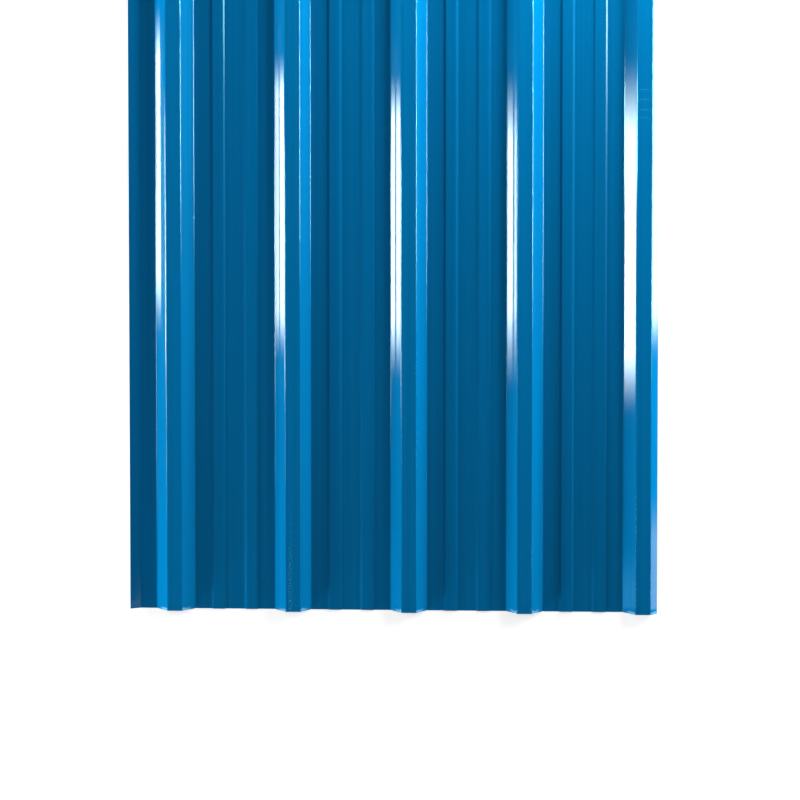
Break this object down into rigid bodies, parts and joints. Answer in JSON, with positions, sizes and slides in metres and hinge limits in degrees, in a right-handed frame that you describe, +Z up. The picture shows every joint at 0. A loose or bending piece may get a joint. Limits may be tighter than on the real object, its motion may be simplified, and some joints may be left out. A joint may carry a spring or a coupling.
{
  "type": "box profile sheet",
  "caption": "Roll-formed box profile roofing and cladding sheet in painted steel, with trapezoidal ribs, swaged pans, an underlap flange and a shortened overlap web.",
  "frame": {"origin": "centre of the bounding box, at its bottom, on the undersides of the pans", "axes": "+X across the sheet from the underlap edge to the overlap edge, +Y along the ribs, +Z up out of the ribs"},
  "size_m": [1.125, 3, 0.0205],
  "materials": {
    "painted_steel": "glossy blue polyester coil coating on galvanised steel"
  },
  "bodies": {
    "root": {"box_profile_sheet": "painted_steel"}
  },
  "joints": []
}
